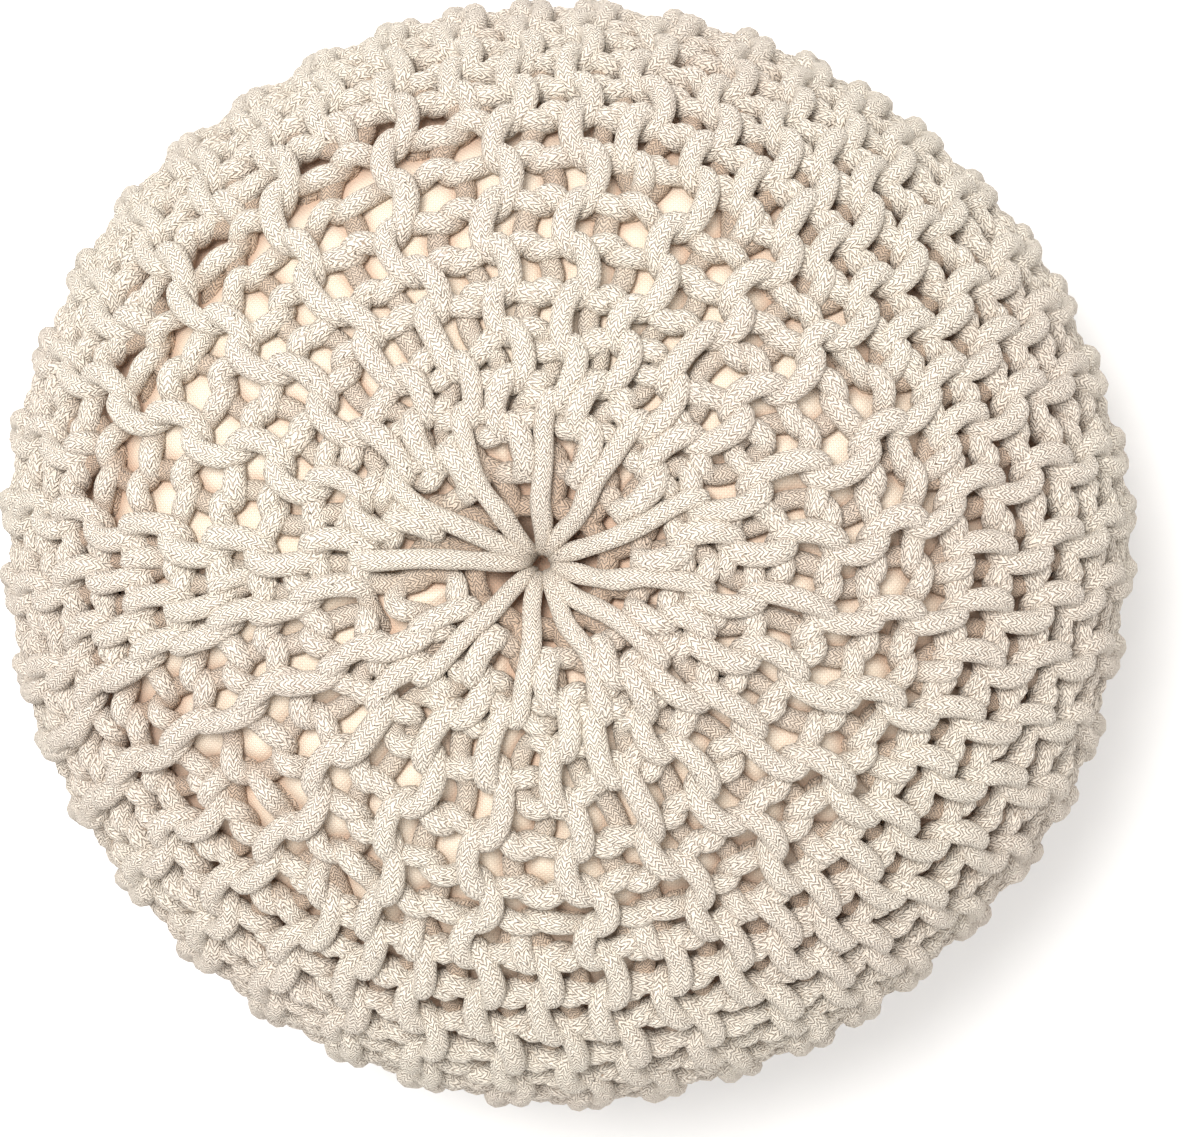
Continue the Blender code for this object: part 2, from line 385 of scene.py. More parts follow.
def row_points(rib, upper, heads):
    """One row of loops, from its first loop's sinker to its last one's."""
    turn = np.arange(len(heads) * POINTS_PER_STITCH + 1) * 2.0 * math.pi / POINTS_PER_STITCH
    along = heads[0] + PITCH * (turn / (2.0 * math.pi) - 0.5 + rib.waist * np.sin(2.0 * turn))
    along = drawn_out(along, rib.heads(), rib)
    from_pole = SECTION.from_pole(along)
    before, line, after = rib_lines(rib, from_pole)
    metres = np.radians(1.0) * SECTION.place(along, RIB_LIFT)[0]
    low, high = (line, after) if upper else (before, line)
    share = (1.0 - np.cos(turn)) / 2.0
    angle = low + (share * ((high - low) * metres + 2.0 * rib.reach) - rib.reach) / metres
    return np.stack((angle, along, row_lift(rib, upper, turn, from_pole), np.zeros(len(turn))), axis=1)


def row_lift(rib, upper, turn, from_pole):
    """The lift of a row's points, of which one turn makes one stitch."""
    share = (1.0 - np.cos(turn)) / 2.0
    ridge = 1.0 - share if upper else share
    wave = np.cos(WAVES_PER_STITCH * (turn - WAVE_SKEW * np.sin(2.0 * turn))) * (1.0 if upper else -1.0)
    lift = FURROW_LIFT + (RIB_LIFT - FURROW_LIFT) * ridge
    lift = lift + (FURROW_WAVE + (RIB_WAVE - FURROW_WAVE) * ridge) * wave
    lift = lift + TAIL_LIFT * ridge * np.sin(2.0 * turn)
    if rib.level == "full" and not upper:
        under_spoke = 1.0 - smooth_step(*UNDER_SPOKE, from_pole)
        lift = lift + (LOW_LIFT - lift) * under_spoke
    if rib.first > 0:
        closed = 1.0 - smooth_step(0.0, FIRST_WIDTH, rib.presence(from_pole))
        lift = lift + (LOW_LIFT - lift) * CLOSED_SINKING * closed
    return lift


def spoke(rib, join, top, rng):
    """The spoke from a full rib's first loop to the gather, ending inside the gather's hole."""
    join_angle, join_along, join_lift, _ = join
    from_pole = join_along if top else SECTION.length - join_along
    inner_end = SPOKE_END + rng.uniform(0.0, SPOKE_SPREAD)
    distance = np.linspace(inner_end, from_pole - SPOKE_JOIN, SPOKE_POINTS)
    share = smooth_step(SPOKE_TURN, from_pole, distance)
    aside = (join_angle - main_angle(rib.index, np.array(from_pole))) * share**2
    bend_sizes = (0.0, *rng.normal(0.0, SPOKE_BEND, len(SPOKE_BEND_PLACES)), 0.0)
    bends = np.interp(distance, (0.0, *SPOKE_BEND_PLACES, from_pole), bend_sizes)
    metres = np.radians(1.0) * np.maximum(distance, LEAST_RADIUS)
    angle = main_angle(rib.index, distance) + aside + bends / metres
    lift = SPOKE_LOW + (SPOKE_LIFT - SPOKE_LOW) * smooth_step(*SPOKE_RISE, distance)
    lift = lift + (join_lift - SPOKE_LIFT) * share**4
    lift = lift - SPOKE_DIVE * (1.0 - smooth_step(*DIVE_STRETCH, distance))
    along = distance if top else SECTION.length - distance
    return np.stack((angle, along, lift, np.ones(SPOKE_POINTS)), axis=1)


def tucked(rib, join, upper, top):
    """A row's end, from under the rib before for a lower row and from under its own rib for an upper row."""
    join_angle, join_along, join_lift, _ = join
    from_pole = np.array(join_along if top else SECTION.length - join_along)
    start = float(rib_lines(rib, from_pole)[1] if upper else line_before(rib, from_pole))
    share = np.linspace(0.0, TUCK_SHARE, TUCK_POINTS)
    angle = start + (join_angle - start) * share
    lift = LOW_LIFT + (join_lift - LOW_LIFT) * share**2
    lift = lift - TUCK_DEPTH * (1.0 - smooth_step(0.0, TUCK_RISE, share))
    return np.stack((angle, np.full(TUCK_POINTS, join_along), lift, np.zeros(TUCK_POINTS)), axis=1)


def row_rope(rib, upper, rng):
    """A row's whole rope, with both of its ends."""
    has_spokes = rib.level == "full" and upper
    starts_early = rib.first > 0 or rib.level == "full" and not upper
    points = row_points(rib, upper, rib.heads(extra=1 if starts_early else 0))
    cut = round(POINTS_PER_STITCH * (SPOKE_JOIN_TURN if has_spokes else rib.cut))
    points = points[cut:-cut]
    if has_spokes:
        ends = [spoke(rib, points[0], True, rng), spoke(rib, points[-1], False, rng)]
    else:
        ends = [tucked(rib, points[0], upper, True), tucked(rib, points[-1], upper, False)]
    return np.concatenate((ends[0], points, ends[1][::-1]))


class Wander:
    """A smooth random shift of the surface, so that neighbouring ropes stray together."""

    WAVES = 14

    def __init__(self, rng, wavelength, reach):
        self.wave = rng.normal(0.0, 1.0, (self.WAVES, 3))
        self.wave *= (2.0 * math.pi / wavelength) / np.linalg.norm(self.wave, axis=1)[:, None]
        self.phase = rng.uniform(0.0, 2.0 * math.pi, (self.WAVES, 3))
        self.reach = reach * math.sqrt(2.0 / self.WAVES)

    def shift(self, points):
        turn = points @ self.wave.T
        shifts = [np.sin(turn + self.phase[:, axis]).sum(axis=1) for axis in range(3)]
        return self.reach * np.stack(shifts, axis=1)


def stray(path, fields):
    """A rope's path moved by the wander fields, less so near the gathers and hardly outward."""
    angle, along, lift, pull = path.T
    place = on_bag(angle, along, lift)
    shift = sum(field.shift(place) for field in fields)
    shift *= smooth_step(*WANDER_GROWS, SECTION.from_pole(along))[:, None]
    step_out, step_down = 0.010, 0.002
    out = (on_bag(angle, along, lift + step_out) - place) / step_out
    down = on_bag(angle, np.clip(along + step_down, 0.0, SECTION.length), lift)
    down -= on_bag(angle, np.clip(along - step_down, 0.0, SECTION.length), lift)
    down /= np.linalg.norm(down, axis=1)[:, None]
    side = np.stack((np.cos(np.radians(angle)), -np.sin(np.radians(angle)), np.zeros(len(angle))), axis=1)
    metres = np.radians(1.0) * np.maximum(SECTION.place(along, lift)[0], LEAST_RADIUS)
    angle = angle + (shift * side).sum(axis=1) / metres
    along = np.clip(along + (shift * down).sum(axis=1), POLE_MARGIN, SECTION.length - POLE_MARGIN)
    lift = lift + OUTWARD_WANDER * (shift * out).sum(axis=1)
    return np.stack((angle, along, lift, pull), axis=1)


def distances_along(points):
    """Distance of each point from the first, along the line through them."""
    steps = np.linalg.norm(np.diff(points, axis=0), axis=1)
    return np.concatenate(([0.0], np.cumsum(steps)))


def resample(points, spacing):
    """Even points along a rope, by the distance between its first three columns."""
    mark = distances_along(points[:, :3])
    at = np.linspace(0.0, mark[-1], round(mark[-1] / spacing) + 1)
    return np.stack([np.interp(at, mark, column) for column in points.T], axis=1)


def smoothed(points, passes):
    """Points drawn towards their neighbours, with both ends kept."""
    for _ in range(passes):
        inner = points[1:-1] * 0.5 + (points[:-2] + points[2:]) * 0.25
        points = np.concatenate((points[:1], inner, points[-1:]))
    return points


def all_ropes(rng):
    """Every row's rope in order round the pouf, as rows of x, y, z, angle, along, lift and pull."""
    fields = [Wander(rng, wavelength, reach) for wavelength, reach in WANDERS]
    ropes = []
    for index in range(len(MAIN)):
        for short in (False, True) if has_short(index) else (False,):
            for upper in (False, True):
                path = stray(row_rope(Rib(index, short), upper, rng), fields)
                place = on_bag(path[:, 0], path[:, 1], path[:, 2])
                points = resample(np.concatenate((place, path), axis=1), SPACING)
                ropes.append(smoothed(points, SMOOTHING_PASSES))
    return ropes


# ---- meshes ----


def new_mesh(name, verts, faces, uvs, unshaded):
    """A smooth-shaded mesh object from its points, faces, corners' UVs, and each point's share of its own
    colour against painted shade.
    """
    mesh = bpy.data.meshes.new(name)
    mesh.from_pydata(verts.tolist(), [], faces)
    layer = mesh.uv_layers.new(name="UVMap")
    layer.uv.foreach_set("vector", uvs.astype(np.float32).ravel())
    mesh.attributes.new("unshaded", "FLOAT", "POINT").data.foreach_set("value", unshaded.astype(np.float32))
    mesh.shade_smooth()
    piece = bpy.data.objects.new(name, mesh)
    bpy.context.scene.collection.objects.link(piece)
    return piece


def side_vectors(points):
    """Two vectors square to a rope at each point, carried along it without twist."""
    tangent = np.gradient(points, axis=0)
    tangent /= np.linalg.norm(tangent, axis=1)[:, None]
    side = np.empty_like(points)
    start = np.cross(tangent[0], SIDE_GUIDE)
    side[0] = start / np.linalg.norm(start)
    for i in range(1, len(points)):
        vector = side[i - 1] - tangent[i] * side[i - 1].dot(tangent[i])
        side[i] = vector / np.linalg.norm(vector)
    return side, np.cross(tangent, side)


def rope_thickness(rope, rng):
    """The rope's radius: slack on the ribs, drawn thin at the gathers, uneven, and closed at its ends."""
    slack = smooth_step(LOW_LIFT, RIB_LIFT + RIB_WAVE, rope[:, LIFT])
    free = smooth_step(*GATHER_EDGE, SECTION.from_pole(rope[:, ALONG]))
    thick = ROPE_RADIUS * (LOW_THICKNESS + SLACK_SWELLING * slack)
    thick = thick * (1.0 - PULL_THINNING * rope[:, PULL]) * (1.0 - GATHER_THINNING * (1.0 - free))
    order = np.arange(len(rope))
    knots = rng.normal(1.0, UNEVENNESS, len(rope) // UNEVEN_POINTS + 2)
    thick = thick * np.interp(order / UNEVEN_POINTS, np.arange(len(knots)), knots)
    end = np.minimum(order, order[::-1])
    return thick * np.sqrt(np.clip((end + END_SHARE) / END_POINTS, 0.0, 1.0))


def unshaded_share(rope):
    """1 where a rope stands in the light, less where painted shade darkens it as it lies low, least in the
    dense middle and side.
    """
    from_pole = SECTION.from_pole(rope[:, ALONG])
    low = (1.0 - smooth_step(LOW_LIFT, RIB_LIFT, rope[:, LIFT])) * (1.0 - SPOKE_SHADE * rope[:, PULL])
    dense = smooth_step(*SHADED_SIDE, from_pole) + 1.0 - smooth_step(*SHADED_MIDDLE, from_pole)
    return 1.0 - low * (CROWN_SHADE + DENSE_SHADE * dense)


def tube_faces(count):
    """Faces of a tube with a number of rings: its side, its first end and its last end."""
    ring = np.arange(count - 1)[:, None] * SIDES
    corner = np.arange(SIDES)[None, :]
    after = (corner + 1) % SIDES
    quads = np.stack((ring + corner, ring + after, ring + SIDES + after, ring + SIDES + corner), axis=-1)
    cap = np.array(CAP)
    return np.concatenate((quads.reshape(-1, 4), cap[:, ::-1], cap + (count - 1) * SIDES))


def tube_uvs(mark):
    """UVs for those faces: the distance along the rope, and the share round it."""
    corner = np.arange(SIDES)[None, :]
    edges = (mark[:-1, None], mark[1:, None], corner / SIDES, (corner + 1) / SIDES)
    u0, u1, v0, v1 = np.broadcast_arrays(*edges)
    corners = [np.stack(pair, axis=-1) for pair in ((u0, v0), (u0, v1), (u1, v1), (u1, v0))]
    ends = np.full((2 * np.array(CAP).size, 2), mark[0])
    return np.concatenate((np.stack(corners, axis=2).reshape(-1, 2), ends))


def rope_mesh(name, ropes, rng):
    """The ropes as closed tubes in one mesh. They stay round, and pass into each other where they cross."""
    verts, faces, uvs, unshaded = [], [], [], []
    base = 0
    turn = 2.0 * math.pi * np.arange(SIDES) / SIDES
    for rope in ropes:
        thick = rope_thickness(rope, rng)
        points = np.column_stack((rope[:, :2], np.maximum(rope[:, 2], thick)))  # it rests on the floor
        side, other = side_vectors(points)
        ring = side[:, None, :] * np.cos(turn)[:, None] + other[:, None, :] * np.sin(turn)[:, None]
        verts.append((points[:, None, :] + ring * thick[:, None, None]).reshape(-1, 3))
        # each point's share of the rope's own colour against painted shade
        unshaded.append(np.repeat(unshaded_share(rope), SIDES))
        faces.append(tube_faces(len(points)) + base)
        uvs.append(tube_uvs(distances_along(points) + rng.uniform(0.0, 1.0)))
        base += len(points) * SIDES
    all_faces = np.vstack(faces).tolist()
    return new_mesh(name, np.vstack(verts), all_faces, np.vstack(uvs), np.concatenate(unshaded))


def bag_lift(ropes):
    """How far the bag bulges at each ring and column of its lattice, under the ropes that hold it down."""
    rope = np.concatenate(ropes)
    ring_step, column_step = SECTION.length / BAG_RINGS, 360.0 / BAG_COLUMNS
    ring = np.rint(rope[:, ALONG] / ring_step).astype(int)
    column = np.rint(rope[:, ANGLE] / column_step).astype(int)
    metres = np.radians(1.0) * SECTION.place(rope[:, ALONG], 0.0)[0]
    from_pole = SECTION.from_pole(np.arange(BAG_RINGS + 1) * ring_step)[:, None]
    free = BULGE + (SIDE_BULGE - BULGE) * smooth_step(*SIDE_STARTS, from_pole)
    lift = free * np.ones((1, BAG_COLUMNS))
    underside = np.maximum(rope[:, LIFT], LOW_LIFT) - ROPE_RADIUS
    for down in range(-PRESSED_RINGS, PRESSED_RINGS + 1):
        at_ring = np.clip(ring + down, 0, BAG_RINGS)
        apart_along = at_ring * ring_step - rope[:, ALONG]
        for across in range(-PRESSED_COLUMNS, PRESSED_COLUMNS + 1):
            apart_across = ((column + across) * column_step - rope[:, ANGLE]) * metres
            apart = np.hypot(apart_along, apart_across)
            limit = underside + apart**2 / (2.0 * BULGE_CURVE)
            np.minimum.at(lift, (at_ring, (column + across) % BAG_COLUMNS), limit)
    for _ in range(BAG_PASSES):
        lift = (2.0 * lift + np.roll(lift, 1, axis=1) + np.roll(lift, -1, axis=1)) / 4.0
        lift[1:-1] = (2.0 * lift[1:-1] + lift[:-2] + lift[2:]) / 4.0
    funnel = FUNNEL_DEPTH * np.exp(-((from_pole / FUNNEL_RADIUS) ** 2))
    return lift * smooth_step(*FLAT_NEAR_POLE, from_pole) - funnel - BAG_SINK


def bag_faces(flat):
    """The bag's faces, four-sided but for the fans at its poles, and their corners' UVs."""
    ring, column = np.meshgrid(np.arange(BAG_RINGS - 2), np.arange(BAG_COLUMNS), indexing="ij")
    after = (column + 1) % BAG_COLUMNS
    first, second = ring * BAG_COLUMNS, (ring + 1) * BAG_COLUMNS
    quads = np.stack((first + column, second + column, second + after, first + after), axis=-1)
    corners = [flat[ring + down, column + across] for down, across in ((1, 0), (2, 0), (2, 1), (1, 1))]
    k = np.arange(BAG_COLUMNS)
    next_k = (k + 1) % BAG_COLUMNS
    last = (BAG_RINGS - 2) * BAG_COLUMNS
    top_pole = last + BAG_COLUMNS
    tops = np.stack((np.full(BAG_COLUMNS, top_pole), k, next_k), axis=1)
    bases = np.stack((np.full(BAG_COLUMNS, top_pole + 1), last + next_k, last + k), axis=1)
    uvs = (
        np.stack(corners, axis=2),
        np.stack((flat[0, k], flat[1, k], flat[1, k + 1]), axis=1),
        np.stack((flat[-1, k], flat[-2, k + 1], flat[-2, k]), axis=1),
    )
    faces = quads.reshape(-1, 4).tolist() + tops.tolist() + bases.tolist()
    return faces, np.vstack([part.reshape(-1, 2) for part in uvs])


def bag_piece(ropes):
    """The filled bag, which bulges between the ropes. Its UV map lays the cloth out flat from each pole."""
    lift = bag_lift(ropes)
    along, angle = np.meshgrid(
        SECTION.length * np.arange(BAG_RINGS + 1) / BAG_RINGS,
        360.0 * np.arange(BAG_COLUMNS + 1) / BAG_COLUMNS,
        indexing="ij",
    )
    body = on_bag(angle[1:-1, :-1].ravel(), along[1:-1, :-1].ravel(), lift[1:-1].ravel())
    poles = [on_bag(np.zeros(1), along[end, :1], lift[end].mean()) for end in (0, -1)]
    from_pole = SECTION.from_pole(along)
    east, north = from_pole * np.sin(np.radians(angle)), from_pole * np.cos(np.radians(angle))
    faces, uvs = bag_faces(np.stack((east, north), axis=-1))
    # 1 where the bag bulges, down to 0 beside the ropes, where its colour takes painted shade
    unshaded = np.append(smooth_step(0.0, FULLY_RAISED * BULGE, lift[1:-1].ravel()), (0.0, 0.0))
    return new_mesh("bag", np.vstack([body] + poles), faces, uvs, unshaded)


# ---- materials ----

SHEEN_ROUGHNESS = 0.6
MIX_FIRST, MIX_SECOND, MIX_RESULT = 6, 7, 2  # the colours' places among the mixing node's sockets
TINT_EDGE = (0.35, 0.65)  # the noise over which a patch of a tint sets in

# How much painted shade the low stretches of the ropes take on.
CROWN_SHADE = 0.40
DENSE_SHADE = 0.60  # added where the ropes lie close together
SHADED_MIDDLE = (0.030, 0.075)
SHADED_SIDE = (0.110, 0.180)
SPOKE_SHADE = 0.8  # share of it that a spoke is spared

ROPE_LIGHT = (0.93, 0.85, 0.73, 1.0)
# painted shade, which the ropes' low stretches take on
ROPE_PAINTED_SHADE = (0.62, 0.47, 0.35, 1.0)
# painted shade in the braid's grooves and in the gaps between its fibres
ROPE_GROOVE_SHADE = (0.42, 0.30, 0.21, 1.0)
ROPE_TINT = (0.95, 0.91, 0.92, 1.0)
TINT_SCALE = 9.0
TINT_SHARE = 0.6
BRAID_ARMS = 16.0  # strands lean one way in half of these columns and the other way in the rest
BRAID_PITCH = 0.0019
BRAID_LEAN = 1.3  # pitches that a strand runs along the rope across one column
COLUMN_SCALE = 170.0  # of the unevenness of the columns
STRAND_SHIFTS = (
    # scale of the unevenness, pitches that it shifts a strand along the rope
    (230.0, 1.9),
    (620.0, 1.0),
)
STRAND_CREST = 0.85  # height from which a strand counts as flat
FIBRE_SCALE = 1700.0
FIBRE_HEIGHT = 0.8  # as a share of a strand's
# painted shade in the gaps between fibres
FIBRE_GAPS = (0.36, 0.46)
FIBRE_SHADE = 0.40
# strand heights over which the painted shade in the braid's grooves fades out
GROOVE_EDGE = (0.35, 0.95)
FAINT_SHADE_SCALE = 330.0  # patches where the painted shade in the braid's grooves is fainter
FAINT_SHADE_EDGE = (0.36, 0.62)
FAINT_SHADE_SHARE = 0.35
GRAIN_SCALE = 600.0
ROPE_BUMP = 0.0011
SPECK = (0.12, 0.08, 0.05, 1.0)
SPECK_SCALE = 300.0
SPECK_SIZE = 0.18
SPECK_RARITY = 3.0
SPECK_SHARE = 0.8

CLOTH_LIGHT = (0.87, 0.78, 0.66, 1.0)
CLOTH_PAINTED_SHADE = (0.70, 0.47, 0.34, 1.0)  # painted shade, down beside the ropes
# painted shade in the weave's grooves
CLOTH_GROOVE_SHADE = (0.62, 0.48, 0.37, 1.0)
CLOTH_TINT = (0.93, 0.88, 0.82, 1.0)
CLOTH_TINT_SCALE = 14.0
CLOTH_TINT_SHARE = 0.35
FULLY_RAISED = 0.8  # share of BULGE from which the cloth is CLOTH_LIGHT, its own colour; lower down it takes painted shade
CLOTH_PITCH = 0.0010
CROSSING_HEIGHT = 0.4  # of one thread over another, as a share of a thread's
CLOTH_GRAIN = (900.0, 0.4)  # scale, height as a share of a thread's
THREAD_EDGE = (0.2, 1.2)  # heights from painted groove shade to the cloth's own colour
THREAD_SHARE = 0.9  # of its own colour, at most; the rest stays painted groove shade
CLOTH_BUMP = (0.0003, 0.6)  # distance, strength

FLOOR_GLOW = 0.09  # the white sweep is lit from below too
FLOOR_WHITES = ((0.94, 0.94, 0.94, 1.0), (0.95, 0.95, 0.95, 1.0))
FLOOR_SCALE = 3.0
FLOOR_EDGE = (0.3, 0.7)
WHITE = (1.0, 1.0, 1.0, 1.0)


class Shading:
    """A material's node tree, with short calls for the nodes used here."""

    def __init__(self, name, roughness, specular, sheen=0.0):
        self.material = bpy.data.materials.new(name)
        self.material.use_nodes = True
        self.tree = self.material.node_tree
        self.shader = self.tree.nodes["Principled BSDF"]
        self.shader.inputs["Roughness"].default_value = roughness
        self.shader.inputs["Specular IOR Level"].default_value = specular
        self.shader.inputs["Sheen Weight"].default_value = sheen

    def node(self, kind, **inputs):
        """A new node with some of its sockets fed."""
        node = self.tree.nodes.new(kind)
        for name, value in inputs.items():
            self.feed(node.inputs[name.replace("_", " ")], value)
        return node

    def feed(self, socket, value):
        """Link another node's output to a socket, or set its value."""
        if isinstance(value, bpy.types.NodeSocket):
            self.tree.links.new(value, socket)
        else:
            socket.default_value = value

    def math(self, operation, *values):
        node = self.tree.nodes.new("ShaderNodeMath")
        node.operation = operation
        for socket, value in zip(node.inputs, values):
            self.feed(socket, value)
        return node.outputs[0]

    def mapped(self, value, low, high, to_low, to_high):
        """A value eased from one range into another."""
        node = self.tree.nodes.new("ShaderNodeMapRange")
        node.interpolation_type = "SMOOTHSTEP"
        names = ("Value", "From Min", "From Max", "To Min", "To Max")
        for name, number in zip(names, (value, low, high, to_low, to_high)):
            self.feed(node.inputs[name], number)
        return node.outputs["Result"]

    def mix(self, share, first, second, blend="MIX"):
        node = self.tree.nodes.new("ShaderNodeMix")
        node.data_type = "RGBA"
        node.blend_type = blend
        self.feed(node.inputs["Factor"], share)
        self.feed(node.inputs[MIX_FIRST], first)
        self.feed(node.inputs[MIX_SECOND], second)
        return node.outputs[MIX_RESULT]

    def noise(self, place, scale, detail=2.0):
        node = self.node("ShaderNodeTexNoise", Vector=place, Scale=scale, Detail=detail)
        return node.outputs["Fac"]

    def tinted(self, colour, tint, place, scale, most):
        """A colour with soft patches of a tint."""
        patch = self.mapped(self.noise(place, scale), *TINT_EDGE, 0.0, most)
        return self.mix(patch, colour, tint, "MULTIPLY")

    def unshaded(self):
        """How much of its own colour the surface keeps against painted shade, from the mesh."""
        node = self.tree.nodes.new("ShaderNodeAttribute")
        node.attribute_name = "unshaded"
        return node.outputs["Fac"]

    def bump(self, height, distance, strength=1.0):
        node = self.node("ShaderNodeBump", Height=height, Distance=distance, Strength=strength)
        self.tree.links.new(node.outputs["Normal"], self.shader.inputs["Normal"])


def braid_strands(shading, place, uv):
    """Height of the braid's strands, which lean to and fro in columns round the rope."""
    split = shading.node("ShaderNodeSeparateXYZ", Vector=uv)
    column = shading.math("MULTIPLY_ADD", split.outputs["Y"], BRAID_ARMS, shading.noise(place, COLUMN_SCALE))
    zigzag = shading.math("PINGPONG", column, 1.0)
    phase = shading.math("DIVIDE", split.outputs["X"], BRAID_PITCH)
    phase = shading.math("MULTIPLY_ADD", zigzag, BRAID_LEAN, phase)
    for scale, pitches in STRAND_SHIFTS:
        phase = shading.math("MULTIPLY_ADD", shading.noise(place, scale), pitches, phase)
    crest = shading.math("ABSOLUTE", shading.math("SINE", shading.math("MULTIPLY", phase, math.pi)))
    return shading.mapped(crest, 0.0, STRAND_CREST, 0.0, 1.0)


def seed_specks(shading, place):
    """1 on small dark seed specks of many sizes, few of them large, and 0 elsewhere."""
    seeds = shading.node("ShaderNodeTexVoronoi", Vector=place, Scale=SPECK_SCALE)
    chance = shading.node("ShaderNodeSeparateColor", Color=seeds.outputs["Color"]).outputs["Red"]
    size = shading.math("MULTIPLY", shading.math("POWER", chance, SPECK_RARITY), SPECK_SIZE)
    return shading.math("LESS_THAN", seeds.outputs["Distance"], size)


def rope_material():
    """Braided cotton: leaning strands with fibres, seed specks and uneven colour, with painted shade on its
    low stretches, in the gaps between fibres and in the braid's grooves, this last fainter in patches.
    """
    shading = Shading("braided_cotton", roughness=0.95, specular=0.15, sheen=0.2)
    shading.shader.inputs["Sheen Roughness"].default_value = SHEEN_ROUGHNESS
    coordinates = shading.node("ShaderNodeTexCoord")
    place = coordinates.outputs["Object"]
    fibre = shading.noise(place, FIBRE_SCALE, 3.0)
    strands = braid_strands(shading, place, coordinates.outputs["UV"])
    height = shading.math("MULTIPLY_ADD", fibre, FIBRE_HEIGHT, strands)
    # painted shade in the braid's grooves, fainter in patches
    groove_shade_depth = shading.mapped(shading.noise(place, FAINT_SHADE_SCALE), *FAINT_SHADE_EDGE, FAINT_SHADE_SHARE, 1.0)
    groove_shade = shading.math("MULTIPLY", shading.mapped(height, *GROOVE_EDGE, 1.0, 0.0), groove_shade_depth)
    # painted shade on the ropes' low stretches, less on the spokes
    colour = shading.mix(shading.unshaded(), ROPE_PAINTED_SHADE, ROPE_LIGHT)
    # painted shade in the gaps between fibres, then in the braid's grooves
    colour = shading.mix(shading.mapped(fibre, *FIBRE_GAPS, FIBRE_SHADE, 0.0), colour, ROPE_GROOVE_SHADE)
    colour = shading.mix(groove_shade, colour, ROPE_GROOVE_SHADE)
    colour = shading.tinted(colour, ROPE_TINT, place, TINT_SCALE, TINT_SHARE)
    speck = shading.math("MULTIPLY", seed_specks(shading, place), SPECK_SHARE)
    colour = shading.mix(speck, colour, SPECK)
    shading.feed(shading.shader.inputs["Base Color"], colour)
    shading.bump(shading.math("ADD", shading.noise(place, GRAIN_SCALE), height), ROPE_BUMP)
    return shading.material


def cloth_material():
    """Plain-woven cotton: threads crossing over and under each other, with painted shade in the weave's
    grooves and on the cloth down beside the ropes.
    """
    shading = Shading("plain_weave_cotton", roughness=0.9, specular=0.2, sheen=0.15)
    coordinates = shading.node("ShaderNodeTexCoord")
    place = coordinates.outputs["Object"]
    split = shading.node("ShaderNodeSeparateXYZ", Vector=coordinates.outputs["UV"])
    turn = math.pi / CLOTH_PITCH
    warp = shading.math("SINE", shading.math("MULTIPLY", split.outputs["X"], turn))
    weft = shading.math("SINE", shading.math("MULTIPLY", split.outputs["Y"], turn))
    height = shading.math("MAXIMUM", shading.math("ABSOLUTE", warp), shading.math("ABSOLUTE", weft))
    height = shading.math("MULTIPLY_ADD", shading.math("MULTIPLY", warp, weft), CROSSING_HEIGHT, height)
    grain_scale, grain_height = CLOTH_GRAIN
    height = shading.math("MULTIPLY_ADD", shading.noise(place, grain_scale), grain_height, height)
    # painted shade on the cloth down beside the ropes
    colour = shading.mix(shading.unshaded(), CLOTH_PAINTED_SHADE, CLOTH_LIGHT)
    # painted shade in the weave's grooves
    colour = shading.mix(shading.mapped(height, *THREAD_EDGE, 0.0, THREAD_SHARE), CLOTH_GROOVE_SHADE, colour)
    colour = shading.tinted(colour, CLOTH_TINT, place, CLOTH_TINT_SCALE, CLOTH_TINT_SHARE)
    shading.feed(shading.shader.inputs["Base Color"], colour)
    shading.bump(height, *CLOTH_BUMP)
    return shading.material


def floor_material():
    """Smooth white studio floor with the faintest unevenness."""
    shading = Shading("studio_floor", roughness=0.85, specular=0.1)
    place = shading.node("ShaderNodeTexCoord").outputs["Object"]
    share = shading.mapped(shading.noise(place, FLOOR_SCALE), *FLOOR_EDGE, 0.0, 1.0)
    shading.feed(shading.shader.inputs["Base Color"], shading.mix(share, *FLOOR_WHITES))
    shading.shader.inputs["Emission Color"].default_value = WHITE
    shading.shader.inputs["Emission Strength"].default_value = FLOOR_GLOW
    return shading.material


# ---- studio ----

FRAME_WIDTH = 1200
FRAME_HEIGHT = 1137
METRES_PER_PIXEL = 0.0004417  # at the girth
POUF_CENTRE_PIXEL = (567.0, 554.0)
CAMERA_DISTANCE = 1.9
CAMERA_TILT = 4.0
CAMERA_SIDE = 57.7  # angle, clockwise from +Y, towards which the camera leans
SENSOR_WIDTH = 36.0  # millimetres, as the focal length is
FLOOR_HALF = 6.0
KEY_PLACE = (-0.31, 0.48, 2.42)
KEY_AIM = (0.0, 0.0, 0.15)
KEY_SIZE = 0.9
KEY_POWER = 55.0
KEY_COLOUR = (1.0, 0.985, 0.96)
SKY_STRENGTH = 0.95
SKY_LOW = (0.78, 0.77, 0.76, 1.0)  # at the horizon and below
SKY_HIGH = (1.0, 0.985, 0.97, 1.0)


def lay_floor():
    mesh = bpy.data.meshes.new("floor")
    corners = [(-1, -1), (1, -1), (1, 1), (-1, 1)]
    mesh.from_pydata([(FLOOR_HALF * x, FLOOR_HALF * y, 0.0) for x, y in corners], [], [(0, 1, 2, 3)])
    mesh.materials.append(floor_material())
    floor = bpy.data.objects.new("floor", mesh)
    bpy.context.scene.collection.objects.link(floor)


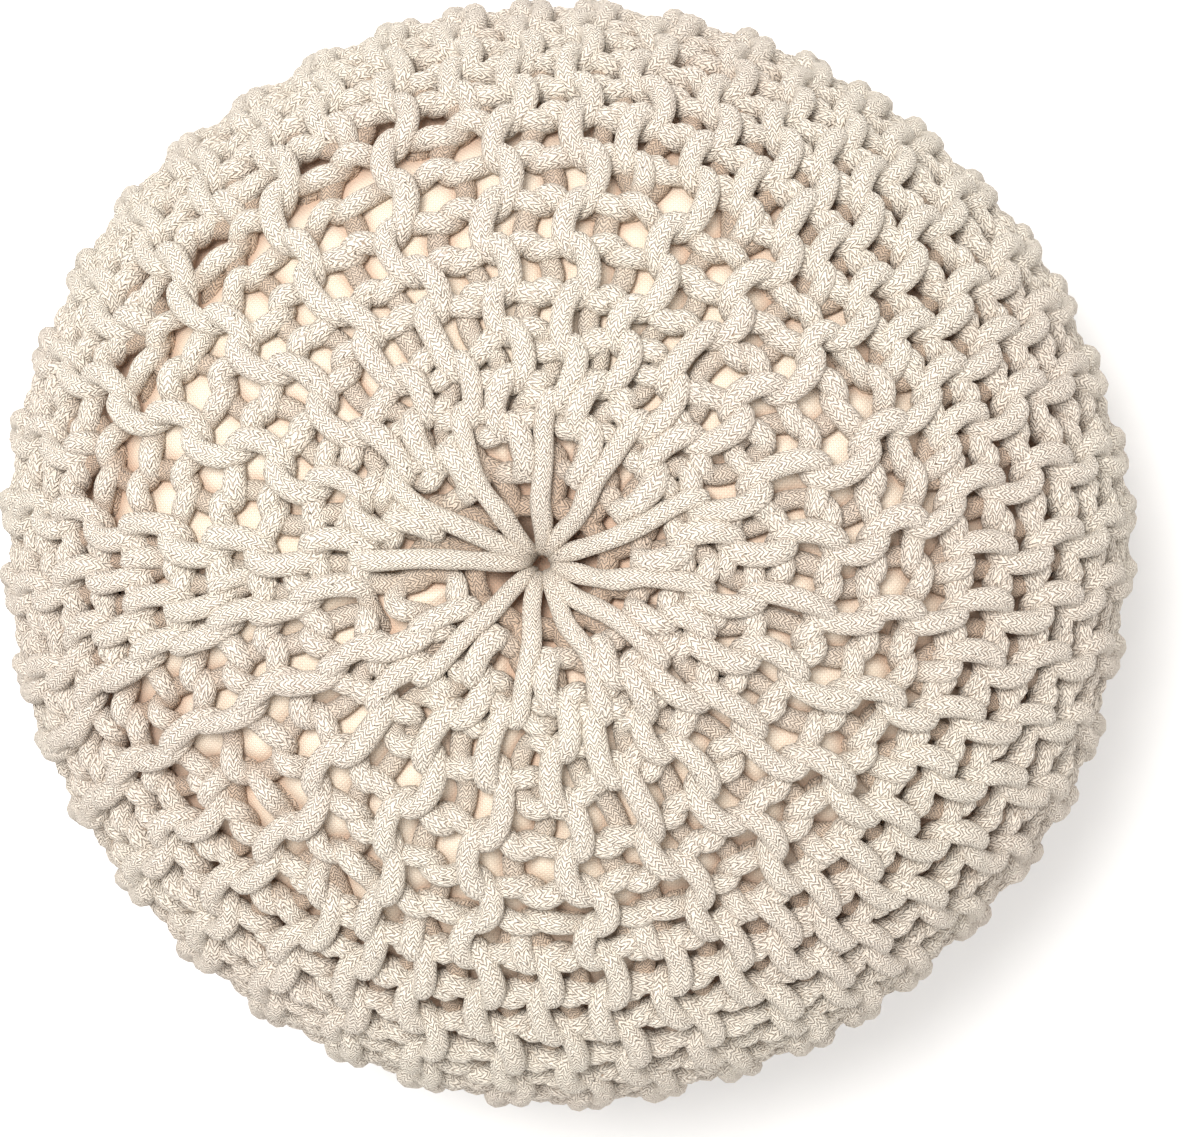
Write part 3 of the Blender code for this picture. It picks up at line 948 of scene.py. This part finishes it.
def light_sky():
    """Soft light from all round, whitest from above."""
    world = bpy.data.worlds.new("studio")
    bpy.context.scene.world = world
    world.use_nodes = True
    nodes, links = world.node_tree.nodes, world.node_tree.links
    split = nodes.new("ShaderNodeSeparateXYZ")
    links.new(nodes.new("ShaderNodeTexCoord").outputs["Generated"], split.inputs[0])
    ramp = nodes.new("ShaderNodeValToRGB")
    ramp.color_ramp.elements[0].color = SKY_LOW
    ramp.color_ramp.elements[1].color = SKY_HIGH
    links.new(split.outputs["Z"], ramp.inputs[0])
    links.new(ramp.outputs["Color"], nodes["Background"].inputs["Color"])
    nodes["Background"].inputs["Strength"].default_value = SKY_STRENGTH


def hang_key():
    """A round lamp high up, a little to the upper left of the frame."""
    lamp = bpy.data.lights.new("key", "AREA")
    lamp.shape = "DISK"
    lamp.size = KEY_SIZE
    lamp.energy = KEY_POWER
    lamp.color = KEY_COLOUR
    key = bpy.data.objects.new("key", lamp)
    key.location = KEY_PLACE
    key.rotation_euler = (Vector(KEY_AIM) - key.location).to_track_quat("-Z", "Y").to_euler()
    bpy.context.scene.collection.objects.link(key)


def place_camera():
    """Almost straight above the pouf, whose middle is a little left of and above the frame's."""
    right_shift = (FRAME_WIDTH / 2.0 - POUF_CENTRE_PIXEL[0]) * METRES_PER_PIXEL
    up_shift = (POUF_CENTRE_PIXEL[1] - FRAME_HEIGHT / 2.0) * METRES_PER_PIXEL
    target = Vector((right_shift, up_shift, GIRTH_HEIGHT))
    tilt, side = math.radians(CAMERA_TILT), math.radians(CAMERA_SIDE)
    back = Vector((math.sin(tilt) * math.sin(side), math.sin(tilt) * math.cos(side), math.cos(tilt)))
    right = Vector((0.0, 1.0, 0.0)).cross(back).normalized()
    data = bpy.data.cameras.new("camera")
    data.sensor_width = SENSOR_WIDTH
    data.lens = SENSOR_WIDTH * CAMERA_DISTANCE / (FRAME_WIDTH * METRES_PER_PIXEL)
    camera = bpy.data.objects.new("camera", data)
    camera.location = target + back * CAMERA_DISTANCE
    camera.rotation_mode = "QUATERNION"
    camera.rotation_quaternion = Matrix((right, back.cross(right), back)).transposed().to_quaternion()
    bpy.context.scene.collection.objects.link(camera)
    bpy.context.scene.camera = camera


def main():
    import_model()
    rng = np.random.default_rng(RANDOM_SEED)
    ropes = all_ropes(rng)
    rope = rope_material()
    for group in range(COVER_PIECES):
        first, last = (round(len(ropes) * end / COVER_PIECES) for end in (group, group + 1))
        piece = rope_mesh(f"cover_{group + 1}", ropes[first:last], rng)
        piece.data.materials.append(rope)
        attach(piece, "root")
        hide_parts("knitted_cover")
    bag = bag_piece(ropes)
    bag.data.materials.append(cloth_material())
    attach(bag, "root")
    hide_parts("inner_bag")
    lay_floor()
    light_sky()
    hang_key()
    place_camera()
    bpy.context.scene.view_settings.view_transform = "Standard"


main()
